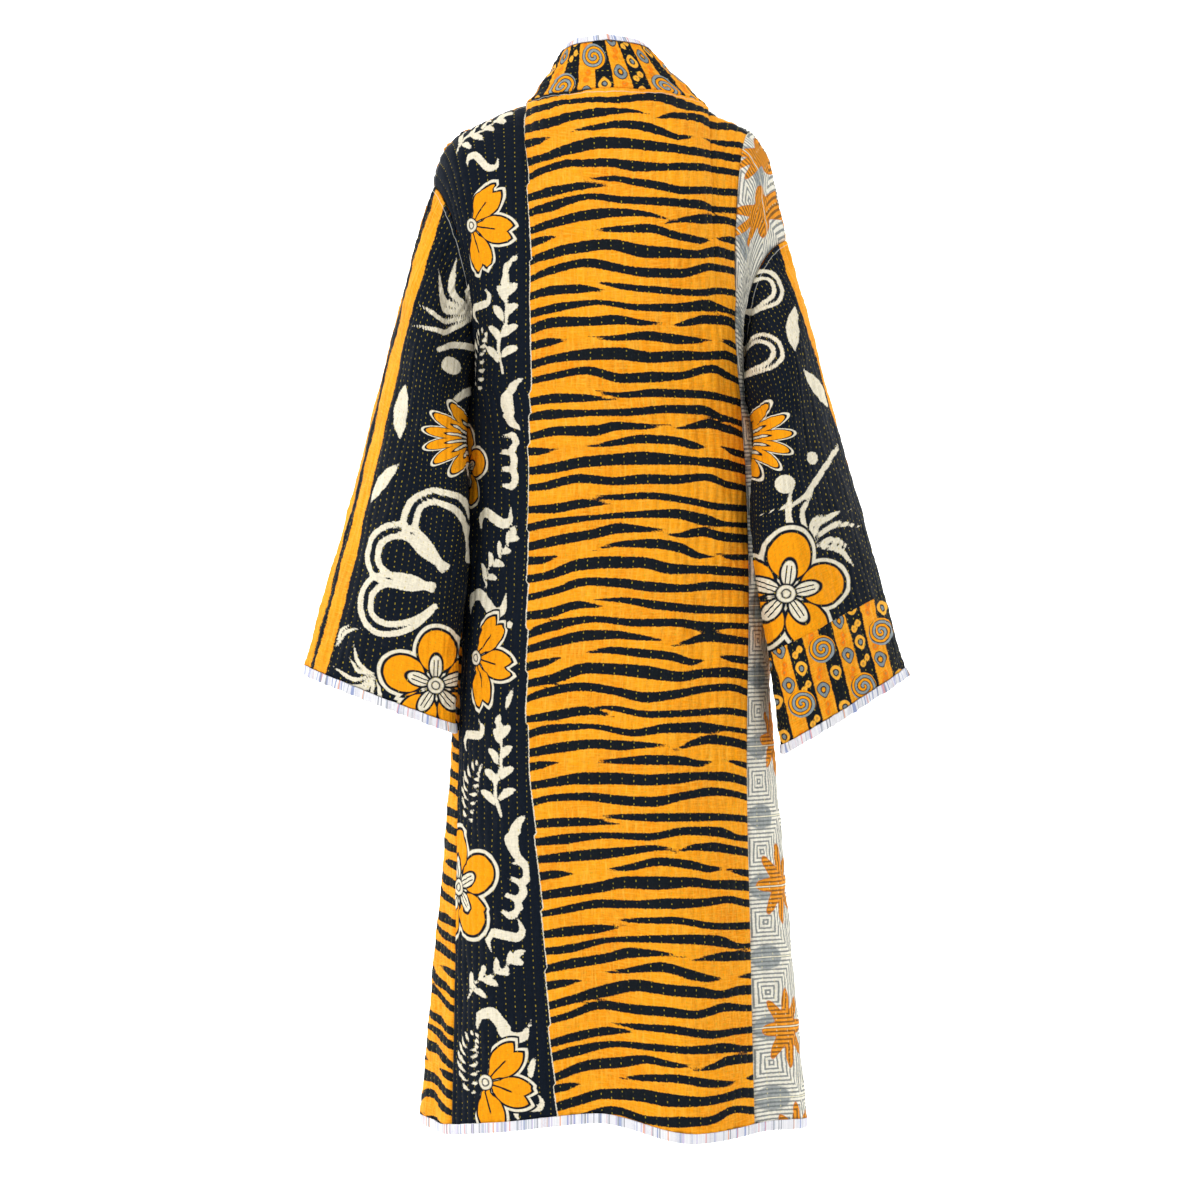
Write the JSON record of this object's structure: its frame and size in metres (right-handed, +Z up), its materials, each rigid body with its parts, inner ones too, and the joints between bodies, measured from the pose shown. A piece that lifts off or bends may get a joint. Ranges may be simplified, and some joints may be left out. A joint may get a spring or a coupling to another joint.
{
  "type": "quilted coat",
  "caption": "Long open-front quilted patchwork coat with wide straight sleeves and a collar band that runs on down both fronts, filled out as worn, with bound edges.",
  "frame": {"origin": "middle of the back neck, where the collar band is sewn on", "axes": "+Z up, the wearer faces -Y, the wearer's left is +X"},
  "size_m": [0.6713, 0.3047, 1.2051],
  "materials": {
    "printed_cotton": "matt printed cotton, quilted with running stitch",
    "grey_cotton": "matt printed cotton, quilted with running stitch",
    "navy_cotton": "matt printed cotton, quilted with running stitch",
    "striped_cotton": "matt printed cotton, quilted with running stitch",
    "white_binding": "matt cotton strip, folded over the edge and sewn"
  },
  "bodies": {
    "root": {"back_panel": "printed_cotton", "left_front": "printed_cotton", "back_side_strip": "grey_cotton", "right_front": "grey_cotton", "left_sleeve": "navy_cotton", "right_sleeve": "navy_cotton", "right_sleeve_cuff_piece": "striped_cotton", "collar_band": "striped_cotton", "collar_binding": "white_binding", "hem_binding": "white_binding", "left_cuff_binding": "white_binding", "right_cuff_binding": "white_binding"}
  },
  "joints": []
}
